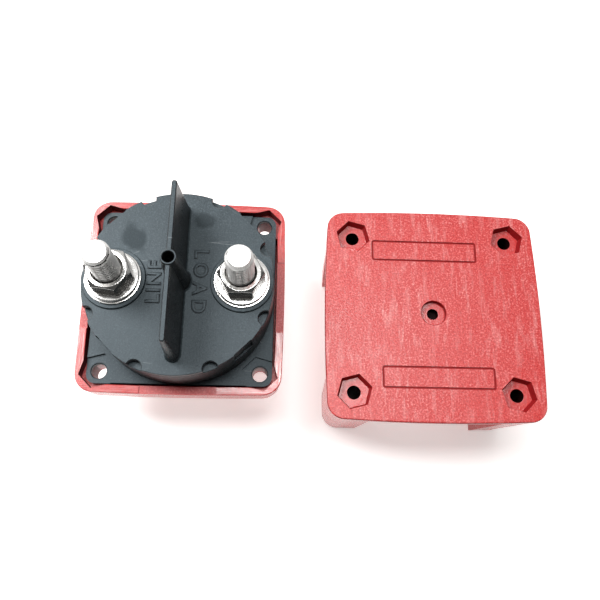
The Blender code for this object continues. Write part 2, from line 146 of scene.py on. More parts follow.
# ---- positions read from the frame (mm) -------------------------------------------------------
low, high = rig.box("front_housing")
FRONT_Z, RIM_Z = low.z / MM, high.z / MM
low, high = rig.box("base_plate")
PLATE_Z0, DRUM_TOP = low.z / MM, high.z / MM
low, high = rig.box("rear_cap")
CAP_FOOT, BOSS_TOP = low.z / MM, high.z / MM
low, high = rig.box("input_stud")
STUD_X, STUD_TOP, STUD_LOW = -(low.x + high.x) / 2 / MM, high.z / MM, low.z / MM
low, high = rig.box("input_nut")
NUT_Z0, NUT_Z1 = low.z / MM, high.z / MM
low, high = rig.box("input_washer")
WASHER_Z0, WASHER_Z1 = low.z / MM, high.z / MM
low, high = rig.box("input_contact_washer")
CONTACT_Z0, CONTACT_Z1 = low.z / MM, high.z / MM
low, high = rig.box("rear_cover")
COVER_X, COVER_Y, COVER_H = (low.x + high.x) / 2 / MM, (low.y + high.y) / 2 / MM, high.z / MM

BODY, BODY_BOW, BODY_CORNER, WALL = 37.5, 0.6, 7.0, 3.0
PITCH = 59.1
HOLE_R = 2.8
HEX_AF = 11.5
PLATE_TOP = 35.5
CAP_TOP, CAP_T = 53.45, 2.65
DRUM_R, DRUM_IN = 34.1, 30.6
STUD_R = 4.7625
hex_r = lambda af: af / 2 / math.cos(math.pi / 6)


# ---- mesh helpers ---------------------------------------------------------------------------------
def link(obj):
    SCENE.collection.objects.link(obj)
    return obj


def mesh_object(name, bm, smooth=30, fix=True):
    mesh = bpy.data.meshes.new(name)
    if fix:
        bmesh.ops.recalc_face_normals(bm, faces=bm.faces[:])
        if bm.calc_volume(signed=True) < 0:
            bmesh.ops.reverse_faces(bm, faces=bm.faces[:])
    bm.to_mesh(mesh)
    bm.free()
    mesh.shade_smooth()
    mesh.set_sharp_from_angle(angle=math.radians(smooth))
    return link(bpy.data.objects.new(name, mesh))


def skin(bm, rings, closed_ends=True, wrap=False):
    """Faces between rings of vertices; each ring is a closed loop."""
    pairs = list(zip(rings, rings[1:])) + ([(rings[-1], rings[0])] if wrap else [])
    for a, b in pairs:
        for i in range(len(a)):
            j = (i + 1) % len(a)
            bm.faces.new((a[i], a[j], b[j], b[i]))
    if closed_ends and not wrap:
        bm.faces.new(rings[0][::-1])
        bm.faces.new(rings[-1])


def loft(name, sections, at=(0, 0), smooth=30):
    bm = bmesh.new()
    rings = [[bm.verts.new(((x + at[0]) * MM, (y + at[1]) * MM, z * MM)) for x, y in points] for z, points in sections]
    skin(bm, rings)
    return mesh_object(name, bm, smooth)


def rounded(profile, radius, n=3, closed=True):
    """The 2D profile with each corner rounded; radius is a number, or one for each corner."""
    out = []
    count = len(profile)
    for i, p in enumerate(profile):
        r = radius[i] if isinstance(radius, (list, tuple)) else radius
        if r <= 0 or (not closed and i in (0, count - 1)):
            out.append(p)
            continue
        a, b = Vector(profile[i - 1]), Vector(profile[(i + 1) % count])
        p = Vector(p)
        u, v = (a - p), (b - p)
        if u.length < 1e-9 or v.length < 1e-9:
            out.append(tuple(p))
            continue
        cut = min(r, u.length * 0.45, v.length * 0.45)
        u, v = u.normalized() * cut, v.normalized() * cut
        for k in range(n + 1):
            t = k / n
            q = (p + u) * (1 - t) ** 2 + p * (2 * t * (1 - t)) + (p + v) * t ** 2
            out.append((q.x, q.y))
    return out


def lathe(name, profile, at=(0, 0), steps=96, radius=0.0, n=3, smooth=30, wobble=0.0, flat_axis=False):
    """Turn a closed (r, z) profile about Z. Points at r = 0 close the ends."""
    profile = rounded(profile, radius, n) if radius else list(profile)
    bm = bmesh.new()
    columns = []
    on_axis = {}
    for k in range(steps):
        a = 2 * math.pi * k / steps
        column = []
        for i, (r, z) in enumerate(profile):
            if r < 1e-6:
                if i not in on_axis:
                    on_axis[i] = bm.verts.new((at[0] * MM, at[1] * MM, z * MM))
                column.append(on_axis[i])
            else:
                lift = wobble * math.sin(2 * a + 0.7)
                column.append(bm.verts.new(((at[0] + r * math.cos(a)) * MM, (at[1] + r * math.sin(a)) * MM, (z + lift) * MM)))
        columns.append(column)
    for a, b in zip(columns, columns[1:] + columns[:1]):
        for i in range(len(profile)):
            j = (i + 1) % len(profile)
            corners = []
            for v in (a[i], b[i], b[j], a[j]):
                if v not in corners:
                    corners.append(v)
            if len(corners) > 2:
                try:
                    bm.faces.new(corners)
                except ValueError:
                    pass
    return mesh_object(name, bm, smooth)


def cylinder(name, at, r, z0, z1, steps=48, r_top=None, turn=0.0):
    bm = bmesh.new()
    bmesh.ops.create_cone(bm, cap_ends=True, segments=steps, radius1=r * MM, radius2=(r if r_top is None else r_top) * MM,
                          depth=(z1 - z0) * MM,
                          matrix=Matrix.Translation((at[0] * MM, at[1] * MM, (z0 + z1) / 2 * MM)) @ Matrix.Rotation(turn, 4, "Z"))
    return mesh_object(name, bm)


def block(name, low, high, turn=0.0, about=(0, 0)):
    bm = bmesh.new()
    size = [(b - a) * MM for a, b in zip(low, high)]
    mid = [(b + a) / 2 * MM for a, b in zip(low, high)]
    bmesh.ops.create_cube(bm, size=1.0, matrix=Matrix.Translation(mid) @ Matrix.Diagonal((*size, 1)))
    if turn:
        bmesh.ops.rotate(bm, verts=bm.verts[:], cent=(about[0] * MM, about[1] * MM, 0), matrix=Matrix.Rotation(turn, 3, "Z"))
    return mesh_object(name, bm)


def outline(half, corner, bow=0.0, arc=10, side=12):
    flat = half - corner
    rise = lambda t: bow * (1 - (t / half) ** 2)
    points = []
    for quarter in range(4):
        spin = quarter * math.pi / 2
        local = [(half + rise(flat * (2 * i / side - 1)), flat * (2 * i / side - 1)) for i in range(side)]
        shift = rise(flat)
        for i in range(arc):
            a = math.pi / 2 * i / arc
            local.append((flat + shift + corner * math.cos(a) - (shift * (1 - math.cos(a))) * 0, flat + shift * (i / arc) + corner * math.sin(a)))
        points += [(x * math.cos(spin) - y * math.sin(spin), x * math.sin(spin) + y * math.cos(spin)) for x, y in local]
    return points


def stadium(length, width, arc=14):
    r = width / 2
    c = length / 2 - r
    return ([(c + r * math.cos(a), r * math.sin(a)) for a in (math.pi * (i / arc - 0.5) for i in range(arc + 1))]
            + [(-c + r * math.cos(a), r * math.sin(a)) for a in (math.pi * (i / arc + 0.5) for i in range(arc + 1))])


def settle(obj):
    """Apply the modifiers, so the mesh is final."""
    bpy.context.view_layer.update()
    graph = bpy.context.evaluated_depsgraph_get()
    mesh = bpy.data.meshes.new_from_object(obj.evaluated_get(graph), preserve_all_data_layers=True, depsgraph=graph)
    obj.modifiers.clear()
    old = obj.data
    obj.data = mesh
    bpy.data.meshes.remove(old)
    return obj


def combine(obj, others, operation):
    for other in others:
        mod = obj.modifiers.new(operation, "BOOLEAN")
        mod.operation = operation
        mod.solver = "EXACT"
        mod.object = other
    settle(obj)
    bm = bmesh.new()
    bm.from_mesh(obj.data)
    bmesh.ops.remove_doubles(bm, verts=bm.verts[:], dist=0.0000015)
    bm.to_mesh(obj.data)
    bm.free()
    for other in others:
        mesh = other.data
        bpy.data.objects.remove(other)
        bpy.data.meshes.remove(mesh)
    return obj


def cut(obj, *others):
    return combine(obj, others, "DIFFERENCE")


def join(obj, *others):
    return combine(obj, others, "UNION")


def even(obj, smooth=42):
    """Smooth shading in which the big flat faces stay flat."""
    obj.data.shade_smooth()
    obj.data.set_sharp_from_angle(angle=math.radians(smooth))
    mod = obj.modifiers.new("even", "WEIGHTED_NORMAL")
    mod.mode = "FACE_AREA_WITH_ANGLE"
    mod.weight = 100
    mod.keep_sharp = True
    return settle(obj)


def tidy(obj, smooth=42, bevel=0.0, segments=2, angle=28):
    """Merge what the cuts left, then round the sharp edges."""
    bm = bmesh.new()
    bm.from_mesh(obj.data)
    bmesh.ops.remove_doubles(bm, verts=bm.verts[:], dist=0.000004)
    bmesh.ops.dissolve_degenerate(bm, edges=bm.edges[:], dist=0.000002)
    bmesh.ops.dissolve_limit(bm, angle_limit=math.radians(0.4), verts=bm.verts[:], edges=bm.edges[:])
    bm.to_mesh(obj.data)
    bm.free()
    if bevel:
        mod = obj.modifiers.new("edge", "BEVEL")
        mod.width = bevel * MM
        mod.segments = segments
        mod.limit_method = "ANGLE"
        mod.angle_limit = math.radians(angle)
        mod.use_clamp_overlap = True
        mod.miter_outer = "MITER_ARC"
        mod.harden_normals = False
        settle(obj)
    return even(obj, smooth)


def corners():
    for sx in (-1, 1):
        for sy in (-1, 1):
            yield sx, sy, (sx * PITCH / 2, sy * PITCH / 2), math.atan2(sy, sx)


# ---- materials ------------------------------------------------------------------------------------
class Nodes:
    def __init__(self, name):
        self.mat = bpy.data.materials.new(name)
        self.mat.use_nodes = True
        self.tree = self.mat.node_tree
        self.shader = self.tree.nodes["Principled BSDF"]
        self.coord = self.add("ShaderNodeTexCoord").outputs["Object"]

    def add(self, kind, **values):
        node = self.tree.nodes.new(kind)
        for key, value in values.items():
            setattr(node, key, value)
        return node

    def wire(self, a, b):
        self.tree.links.new(a, b)

    def scaled(self, scale, rotate=(0, 0, 0)):
        node = self.add("ShaderNodeMapping")
        node.inputs["Scale"].default_value = scale
        node.inputs["Rotation"].default_value = rotate
        self.wire(self.coord, node.inputs["Vector"])
        return node.outputs["Vector"]

    def noise(self, scale, detail=2.0, rough=0.5, vector=None, distortion=0.0):
        node = self.add("ShaderNodeTexNoise")
        node.inputs["Scale"].default_value = scale
        node.inputs["Detail"].default_value = detail
        node.inputs["Roughness"].default_value = rough
        node.inputs["Distortion"].default_value = distortion
        self.wire(vector or self.coord, node.inputs["Vector"])
        return node.outputs["Fac"]

    def remap(self, value, a, b, to_a=0.0, to_b=1.0):
        node = self.add("ShaderNodeMapRange")
        node.inputs["From Min"].default_value = a
        node.inputs["From Max"].default_value = b
        node.inputs["To Min"].default_value = to_a
        node.inputs["To Max"].default_value = to_b
        self.wire(value, node.inputs["Value"])
        return node.outputs["Result"]

    def math(self, op, a, b):
        node = self.add("ShaderNodeMath", operation=op)
        for socket, value in zip(node.inputs, (a, b)):
            if isinstance(value, (int, float)):
                socket.default_value = value
            else:
                self.wire(value, socket)
        return node.outputs["Value"]

    def mix(self, fac, a, b):
        node = self.add("ShaderNodeMix", data_type="RGBA")
        for socket, value in ((node.inputs["Factor"], fac), (node.inputs[6], a), (node.inputs[7], b)):
            if isinstance(value, (int, float)):
                socket.default_value = value
            elif isinstance(value, (tuple, list)):
                socket.default_value = (*value[:3], 1.0)
            else:
                self.wire(value, socket)
        return node.outputs[2]

    def bump(self, height, strength, distance, normal=None):
        node = self.add("ShaderNodeBump")
        node.inputs["Strength"].default_value = strength
        node.inputs["Distance"].default_value = distance
        self.wire(height, node.inputs["Height"])
        if normal is not None:
            self.wire(normal, node.inputs["Normal"])
        return node.outputs["Normal"]

    def set(self, **sockets):
        for key, value in sockets.items():
            socket = self.shader.inputs[key.replace("_", " ")]
            if isinstance(value, (int, float)):
                socket.default_value = value
            elif isinstance(value, tuple):
                socket.default_value = (*value[:3], 1.0)
            else:
                self.wire(value, socket)


def red_plastic(name, base=(0.46, 0.022, 0.018), deep=(0.33, 0.012, 0.013), scuff_and_sheen_colour=(0.90, 0.62, 0.60), scuff_and_sheen_amount=0.30, rough=0.35, streak=0.6, spec=0.62):
    """Moulded red plastic: fine orange-peel grain, long flow streaks, and pale mottling on the high spots that is
    partly scuffing and partly painted sheen.
    """
    n = Nodes(name)
    grain = n.noise(1500, 3, 0.65)
    finer = n.noise(3600, 2, 0.6)
    flow = n.noise(1.0, 4, 0.6, n.scaled((620, 95, 120), (0, 0, 0.10)), 0.5)
    broad = n.noise(1.0, 3, 0.5, n.scaled((130, 40, 60), (0, 0, 0.22)), 0.8)
    colour = n.mix(n.remap(grain, 0.36, 0.62), deep, base)
    scuff_and_sheen_mask = n.math("ADD", n.remap(grain, 0.52, 0.70), n.remap(flow, 0.50, 0.74, 0.0, streak))
    scuff_and_sheen_mask = n.math("MULTIPLY", scuff_and_sheen_mask, n.remap(broad, 0.32, 0.68, 0.30, 1.0))
    # pale mottling lightens the colour: part scuffing, part painted sheen
    colour = n.mix(n.math("MULTIPLY", scuff_and_sheen_mask, scuff_and_sheen_amount), colour, scuff_and_sheen_colour)
    height = n.math("ADD", grain, n.math("ADD", n.math("MULTIPLY", finer, 0.35), n.math("MULTIPLY", flow, 0.5)))
    n.set(Base_Color=colour,
          Roughness=n.math("ADD", n.remap(broad, 0.3, 0.7, rough - 0.04, rough + 0.05), n.remap(finer, 0.3, 0.7, -0.05, 0.05)),
          Normal=n.bump(height, 0.95, 0.00012))
    n.shader.inputs["IOR"].default_value = 1.5
    n.shader.inputs["Specular IOR Level"].default_value = spec
    return n.mat


def red_gloss_and_painted_sheen(name):
    """The polished corner parts of the rim, with pale streaks that run along each wall and are painted into the colour
    as sheen.
    """
    n = Nodes(name)
    along_x = n.noise(1.0, 3, 0.6, n.scaled((90, 2100, 90)), 0.3)
    along_y = n.noise(1.0, 3, 0.6, n.scaled((2100, 90, 90)), 0.3)
    grain = n.noise(1500, 3, 0.6)
    place = n.add("ShaderNodeSeparateXYZ")
    n.wire(n.coord, place.inputs["Vector"])
    side = n.remap(n.math("SUBTRACT", n.math("ABSOLUTE", place.outputs["X"], 0.0), n.math("ABSOLUTE", place.outputs["Y"], 0.0)), -0.004, 0.004)
    lines = n.math("ADD", n.math("MULTIPLY", along_y, side), n.math("MULTIPLY", along_x, n.math("SUBTRACT", 1.0, side)))
    colour = n.mix(n.remap(grain, 0.36, 0.64), (0.40, 0.012, 0.013), (0.54, 0.026, 0.022))
    # the pale pinkish-white streaks are painted sheen
    colour = n.mix(n.math("MULTIPLY", n.remap(lines, 0.50, 0.66), 0.28), colour, (0.95, 0.66, 0.64))
    n.set(Base_Color=colour, Roughness=n.remap(lines, 0.35, 0.65, 0.34, 0.16), Normal=n.bump(n.math("ADD", lines, n.math("MULTIPLY", grain, 0.3)), 0.6, 0.00007))
    n.shader.inputs["Specular IOR Level"].default_value = 0.8
    return n.mat


def black_plastic(name, base=(0.008, 0.0135, 0.016), smudge=(0.005, 0.009, 0.011), rough=0.44, spec=0.52, patches=()):
    """Moulded black plastic: fine spark-eroded grain, pale dust in it, darker handled patches and a few scratches."""
    n = Nodes(name)
    grain = n.noise(1500, 3, 0.7)
    finer = n.noise(3900, 2, 0.6)
    flow = n.noise(1.0, 3, 0.5, n.scaled((60, 26, 40), (0, 0, -0.5)), 0.8)
    pale = tuple(c * 3.0 + 0.030 for c in base)
    colour = n.mix(n.remap(grain, 0.50, 0.68), base, pale)
    colour = n.mix(n.math("MULTIPLY", n.remap(flow, 0.40, 0.72), 0.45), colour, pale)
    wet = None
    for (x, y), (a, b), turn in patches:
        spot = n.add("ShaderNodeMapping", vector_type="TEXTURE")
        spot.inputs["Location"].default_value = (x * MM, y * MM, 0.0)
        spot.inputs["Rotation"].default_value = (0.0, 0.0, turn)
        spot.inputs["Scale"].default_value = (a * MM, b * MM, 1.0)
        n.wire(n.coord, spot.inputs["Vector"])
        length = n.add("ShaderNodeVectorMath", operation="LENGTH")
        n.wire(spot.outputs["Vector"], length.inputs[0])
        ragged = n.math("ADD", length.outputs["Value"], n.remap(n.noise(230, 3, 0.55), 0.3, 0.7, -0.25, 0.25))
        mask = n.remap(ragged, 0.70, 1.05, 1.0, 0.0)
        wet = mask if wet is None else n.math("MAXIMUM", wet, mask)
    rough_value = n.math("ADD", n.remap(flow, 0.3, 0.7, rough - 0.05, rough + 0.06), n.remap(grain, 0.35, 0.65, -0.05, 0.07))
    if wet is not None:
        colour = n.mix(n.math("MULTIPLY", wet, 0.5), colour, smudge)
        rough_value = n.math("ADD", rough_value, n.math("MULTIPLY", wet, 0.16))
    scratch = n.add("ShaderNodeTexVoronoi", feature="DISTANCE_TO_EDGE")
    scratch.inputs["Scale"].default_value = 1.0
    n.wire(n.scaled((22, 240, 80), (0, 0, 1.1)), scratch.inputs["Vector"])
    lines = n.remap(scratch.outputs["Distance"], 0.004, 0.014, 1.0, 0.0)
    lines = n.math("MULTIPLY", lines, n.remap(n.noise(120, 2, 0.5), 0.64, 0.72))
    colour = n.mix(n.math("MULTIPLY", lines, 0.6), colour, (0.36, 0.38, 0.39))
    n.set(Base_Color=colour, Roughness=rough_value,
          Normal=n.bump(n.math("ADD", grain, n.math("MULTIPLY", finer, 0.6)), 0.75, 0.00010))
    n.shader.inputs["Specular IOR Level"].default_value = spec
    n.shader.inputs["Specular Tint"].default_value = (0.80, 0.92, 1.0, 1.0)
    return n.mat


def metal(name, colour=(0.83, 0.82, 0.80), rough=0.22, scratch_scale=(1500, 1500, 90), strength=0.12, spots=0.25, metallic=1.0):
    n = Nodes(name)
    brushed = n.noise(1.0, 3, 0.6, n.scaled(scratch_scale))
    grain = n.noise(1900, 3, 0.6)
    blot = n.remap(n.noise(330, 3, 0.6), 0.55, 0.75)
    n.set(Base_Color=n.mix(n.math("MULTIPLY", blot, spots), n.mix(n.remap(grain, 0.3, 0.7), colour, tuple(c * 0.92 for c in colour)), tuple(c * 0.62 for c in colour)),
          Roughness=n.math("ADD", n.remap(brushed, 0.3, 0.7, rough - 0.06, rough + 0.06), n.math("MULTIPLY", blot, 0.12)),
          Normal=n.bump(n.math("ADD", brushed, n.math("MULTIPLY", grain, 0.5)), strength, 0.00004))
    n.shader.inputs["Metallic"].default_value = metallic
    return n.mat


def simple(name, colour, rough, grain_scale=1800, bump=0.3, metallic=0.0, vary=0.2):
    n = Nodes(name)
    fine = n.noise(grain_scale, 3, 0.6)
    cloud = n.noise(90, 3, 0.5)
    n.set(Base_Color=n.mix(n.math("MULTIPLY", n.remap(cloud, 0.35, 0.7), vary), n.mix(n.remap(fine, 0.3, 0.7), colour, tuple(c * 0.88 for c in colour)), tuple(c * 0.7 for c in colour)),
          Roughness=n.remap(fine, 0.3, 0.7, max(0.05, rough - 0.07), min(1.0, rough + 0.07)),
          Normal=n.bump(fine, bump, 0.00004))
    n.shader.inputs["Metallic"].default_value = metallic
    return n.mat


MAT = {
    "red_body": red_plastic("red_body_moulding", base=(0.54, 0.022, 0.018), deep=(0.40, 0.012, 0.013), scuff_and_sheen_amount=0.24, streak=0.3),
    "red_gloss_and_painted_sheen": red_gloss_and_painted_sheen("red_rim_polish_painted_sheen"),
    # dark red painted shade for the housing's inner walls
    "red_painted_shade": red_plastic("red_inner_wall_painted_shade", base=(0.16, 0.006, 0.008), deep=(0.11, 0.004, 0.006), scuff_and_sheen_amount=0.05, rough=0.5, streak=0.2),
    # near-black painted shade for vertical edges and sides, letter sides and letter outlines
    "black_painted_shade": black_plastic("black_edge_painted_shade", base=(0.003, 0.0038, 0.0045), smudge=(0.002, 0.0025, 0.003), rough=0.32, spec=0.22),
    # the cover's red has the strongest pale mottling, part scuffing and part painted sheen
    "red_cover": red_plastic("red_cover_moulding", base=(0.58, 0.022, 0.019), deep=(0.38, 0.011, 0.011), scuff_and_sheen_colour=(0.98, 0.72, 0.69), scuff_and_sheen_amount=0.36, rough=0.31, streak=0.7),
    # darker red painted shade for the cover's recess walls, top-edge bevel and name grooves
    "red_wall_painted_shade": red_plastic("red_recess_painted_shade", base=(0.30, 0.008, 0.009), deep=(0.22, 0.005, 0.007), scuff_and_sheen_amount=0.0, rough=0.50, streak=0.0, spec=0.22),
    "hole_dark": red_plastic("hole_shadow_wall", base=(0.012, 0.0015, 0.0015), deep=(0.008, 0.001, 0.001), scuff_and_sheen_amount=0.0, rough=0.60, streak=0.0, spec=0.08),
    "red_side": red_plastic("red_side_moulding", base=(0.56, 0.024, 0.020), deep=(0.42, 0.014, 0.014), scuff_and_sheen_amount=0.12, rough=0.20, streak=0.3, spec=0.8),
    "red_seat": red_plastic("red_seat_moulding", base=(0.50, 0.020, 0.018), deep=(0.40, 0.013, 0.013), scuff_and_sheen_amount=0.08, rough=0.20, streak=0.0, spec=0.8),
    "red_knob": red_plastic("red_knob_moulding", scuff_and_sheen_amount=0.14, rough=0.33, streak=0.3),
    "black": black_plastic("black_plate_moulding"),
    "black_cap": black_plastic("black_cap_moulding", patches=[((-16.5, 15.5), (4.2, 6.6), 0.5), ((7.7, 23.7), (4.6, 3.4), -0.4)]),
    "stud": metal("tinned_stud_metal", (0.90, 0.89, 0.87), 0.34, (900, 900, 900), 0.15, 0.18, 0.6),
    "nut": metal("stainless_nut_metal", (0.80, 0.79, 0.77), 0.14, (420, 420, 60), 0.10, 0.25),
    # dark metal painted shade for nut flats, nut bores, the stud tip and thread roots
    "nut_side": metal("nut_flat_metal", (0.20, 0.19, 0.18), 0.24, (420, 420, 60), 0.10, 0.25),
    "washer": metal("stainless_washer_metal", (0.80, 0.79, 0.77), 0.16, (700, 700, 300), 0.14, 0.3),
    "rubber": simple("seal_rubber_skin", (0.02, 0.02, 0.022), 0.72, 1500, 0.5),
    "natural": simple("natural_plastic_skin", (0.66, 0.62, 0.52), 0.45, 1500, 0.25),
    "copper": metal("copper_bar_metal", (0.86, 0.46, 0.30), 0.26, (260, 1800, 400), 0.15, 0.5),
    "spring": metal("spring_steel_metal", (0.56, 0.57, 0.60), 0.26, (900, 900, 900), 0.15, 0.35),
    "brass": metal("turned_brass_metal", (0.80, 0.62, 0.32), 0.24, (500, 500, 2400), 0.2, 0.3),
    "label": simple("label_white_film", (0.80, 0.80, 0.78), 0.38, 1200, 0.12, 0.0, 0.08),
    "mark": simple("label_black_print", (0.03, 0.03, 0.032), 0.42, 1500, 0.15),
}


def dress(obj, mat, body, slot=None, replaces=()):
    obj.data.materials.clear()
    obj.data.materials.append(MAT[mat])
    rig.ride(obj, body)
    if slot:
        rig.slot(obj, slot)
    if replaces:
        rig.replaces(obj, *replaces)
    return obj


def zone(obj, mat, test):
    """A second finish on the faces that test(centre in mm, normal) picks."""
    obj.data.materials.append(MAT[mat])
    index = len(obj.data.materials) - 1
    for face in obj.data.polygons:
        if test(face.center / MM, face.normal):
            face.material_index = index


# ---- front housing ----------------------------------------------------------------------------------
inner = BODY - WALL
shell = loft("housing_tray", [
    (FRONT_Z, outline(BODY - 1.9, BODY_CORNER - 1.4, BODY_BOW)),
    (FRONT_Z + 0.12, outline(BODY - 1.35, BODY_CORNER - 1.0, BODY_BOW)),
    (FRONT_Z + 0.45, outline(BODY - 0.85, BODY_CORNER - 0.6, BODY_BOW)),
    (FRONT_Z + 1.0, outline(BODY - 0.55, BODY_CORNER - 0.4, BODY_BOW)),
    (FRONT_Z + 1.8, outline(BODY - 0.42, BODY_CORNER - 0.3, BODY_BOW)),
    (RIM_Z - 0.55, outline(BODY, BODY_CORNER, BODY_BOW)),
    (RIM_Z - 0.22, outline(BODY - 0.05, BODY_CORNER - 0.05, BODY_BOW)),
    (RIM_Z - 0.06, outline(BODY - 0.18, BODY_CORNER - 0.15, BODY_BOW)),
    (RIM_Z, outline(BODY - 0.42, BODY_CORNER - 0.3, BODY_BOW)),
])
cut(shell, loft("bowl", [
    (FRONT_Z + 3.0, outline(inner - 0.15, 4.0, BODY_BOW)),
    (RIM_Z - 0.35, outline(inner, 4.0, BODY_BOW)),
    (RIM_Z - 0.1, outline(inner + 0.08, 4.05, BODY_BOW)),
    (RIM_Z + 0.02, outline(inner + 0.3, 4.2, BODY_BOW)),
    (RIM_Z + 1.0, outline(inner + 0.8, 4.4, BODY_BOW)),
]))
join(shell, lathe("rib", [(32.0, 31.3), (32.0, 26.5), (29.0, 26.5), (29.0, 31.3)]), cylinder("collar", (0, 0), 10.0, 26.5, 30.5, 64),
     *[cylinder("post", at, 6.1, 26.0, 32.15, 40) for sx, sy, at, d in corners()])
cut(shell, *[cylinder("rim_hex", at, hex_r(HEX_AF + 0.5), 32.15, 38.5, 6, turn=d) for sx, sy, at, d in corners()])
cut(shell, *[lathe("hole", [(0, 35.0), (HOLE_R, 35.0), (HOLE_R, FRONT_Z + 0.35), (HOLE_R + 0.35, FRONT_Z), (HOLE_R + 0.35, 23.0), (0, 23.0)], at, 48) for sx, sy, at, d in corners()])
cut(shell, cylinder("bore", (0, 0), 4.8, 23.0, 31.0, 64), cylinder("seal_seat", (0, 0), 7.4, 23.0, 26.5, 64),
    lathe("label_seat", [(34.4, 24.45), (34.4, 23.0), (24.6, 23.0), (24.6, 24.45)], steps=128))
cut(shell, *[block("rim_step", (33.0, -14.0, RIM_Z - 0.35), (40.0, 14.0, 38.5), turn=k * math.pi / 2) for k in range(4)])
tidy(shell, bevel=0.10)
dress(shell, "red_body", "switch_body", "red_plastic", ["front_housing"])
# the rim's corner tops take the glossy finish with painted sheen streaks
zone(shell, "red_gloss_and_painted_sheen", lambda c, n: c.z > RIM_Z - 0.3 and n.z > 0.3 and (abs(c.x) > 14 and abs(c.y) > 14 or max(abs(c.x), abs(c.y)) > 14 and min(abs(c.x), abs(c.y)) > 14))
# painted shade: the inner walls of the tray take a dark red
zone(shell, "red_painted_shade", lambda c, n: abs(n.z) < 0.4 and max(abs(c.x), abs(c.y)) < 36.3 and c.z > FRONT_Z + 2.5 and (n.x * c.x + n.y * c.y) < 0)

zone(shell, "red_side", lambda c, n: abs(n.z) < 0.35 and max(abs(c.x), abs(c.y)) > 35.8 and n.x * c.x + n.y * c.y > 0)

# ---- base plate and drum ------------------------------------------------------------------------------
plate = loft("plate_and_drum", [
    (PLATE_Z0, outline(34.0, 3.4)), (PLATE_TOP - 0.25, outline(34.15, 3.5)), (PLATE_TOP - 0.07, outline(34.08, 3.45)), (PLATE_TOP, outline(33.9, 3.3)),
])
drum = lathe("drum", [(0, DRUM_TOP), (DRUM_R - 0.25, DRUM_TOP), (DRUM_R, DRUM_TOP - 0.25), (DRUM_R + 0.05, PLATE_TOP - 1.5), (0, PLATE_TOP - 1.5)], steps=192)
join(plate, drum)
cut(plate, cylinder("inside", (0, 0), DRUM_IN, PLATE_TOP, DRUM_TOP + 1, 128), cylinder("opening", (0, 0), 28.4, PLATE_Z0 - 1, PLATE_TOP + 1, 128))
cut(plate, *[cylinder("pad", at, hex_r(HEX_AF), PLATE_TOP - 0.95, PLATE_TOP + 1, 6, turn=d) for sx, sy, at, d in corners()])
cut(plate, *[lathe("hole", [(0, 36.0), (HOLE_R + 0.3, 36.0), (HOLE_R + 0.3, PLATE_TOP - 0.95), (HOLE_R, PLATE_TOP - 1.25), (HOLE_R, 31.0), (0, 31.0)], at, 48) for sx, sy, at, d in corners()])
cut(plate, *[block("tab_seat", (32.25, -4.25, DRUM_TOP - 5.0), (36.0, 4.25, DRUM_TOP + 1), turn=d) for sx, sy, at, d in corners()])
tidy(plate, bevel=0.09)
dress(plate, "black", "switch_body", "black_plastic", ["base_plate"])
# painted shade: the plate's and drum's vertical faces take near-black
zone(plate, "black_painted_shade", lambda c, n: abs(n.z) < 0.55)

# ---- rear cap --------------------------------------------------------------------------------------------
cap = lathe("cap_and_blade", [(0, CAP_TOP), (DRUM_R - 0.28, CAP_TOP), (DRUM_R - 0.08, CAP_TOP - 0.08), (DRUM_R, CAP_TOP - 0.28), (DRUM_R, CAP_TOP - CAP_T), (0, CAP_TOP - CAP_T)], steps=192)
cut(cap, *[block("flat", (33.45, -4.0, CAP_TOP - 4), (36.0, 4.0, CAP_TOP + 1), turn=d) for sx, sy, at, d in corners()])
join(cap, *[block("tab", (32.55, -3.75, CAP_FOOT), (33.4, 3.75, CAP_TOP - CAP_T + 0.5), turn=d) for sx, sy, at, d in corners()])
notches = []
for k in range(8):
    a = math.radians(22.5 + 45 * k)
    at = (DRUM_R * math.cos(a), DRUM_R * math.sin(a))
    notches.append(lathe("notch", [(0, CAP_TOP + 1), (2.95, CAP_TOP + 1), (2.95, CAP_TOP), (2.75, CAP_TOP - 0.2), (2.75, CAP_TOP - 4), (0, CAP_TOP - 4)], at, 40))
cut(cap, *notches)
join(cap, *[lathe("terminal_boss", [(0, CAP_TOP + 0.9), (11.05, CAP_TOP + 0.9), (11.25, CAP_TOP + 0.7), (11.45, CAP_TOP - 0.8), (0, CAP_TOP - 0.8)], (s * STUD_X, 0), 96) for s in (-1, 1)])


def blade_ring(length, width):
    return [(y, x) for x, y in stadium(length, width, 16)][::-1]


blade = loft("blade", [
    (CAP_TOP - 1.0, blade_ring(60.0, 6.4)), (CAP_TOP + 0.07, blade_ring(59.4, 5.8)), (CAP_TOP + 0.35, blade_ring(58.9, 5.15)), (CAP_TOP + 0.9, blade_ring(58.6, 4.75)),
    (75.9, blade_ring(55.5, 1.95)), (76.35, blade_ring(55.2, 1.75)), (76.6, blade_ring(54.7, 1.2)),
], smooth=60)
boss = lathe("cover_boss", [(0, BOSS_TOP), (2.5, BOSS_TOP), (2.65, BOSS_TOP - 0.15), (3.4, 65.0), (4.15, CAP_TOP + 1.5), (4.5, CAP_TOP + 0.45), (4.95, CAP_TOP + 0.13), (5.1, CAP_TOP - 0.8), (0, CAP_TOP - 0.8)], steps=48, smooth=60)
join(blade, boss)
join(cap, blade)
cut(cap, lathe("boss_hole", [(0, BOSS_TOP + 1), (2.15, BOSS_TOP + 1), (2.15, BOSS_TOP), (1.9, BOSS_TOP - 0.3), (1.9, CAP_TOP + 6), (0, CAP_TOP + 6)], steps=40),
    *[cylinder("stud_hole", (s * STUD_X, 0), STUD_R + 0.35, CAP_TOP - CAP_T - 1, CAP_TOP + 3, 64) for s in (-1, 1)])
tidy(cap, bevel=0.08)
dress(cap, "black_cap", "switch_body", "black_cap_plastic", ["rear_cap"])
# painted shade: the side and edge faces of the cap and blade take near-black
zone(cap, "black_painted_shade", lambda c, n: abs(n.z) < 0.9 and (c.z < CAP_TOP + 0.05 or c.z > CAP_TOP + 0.9))


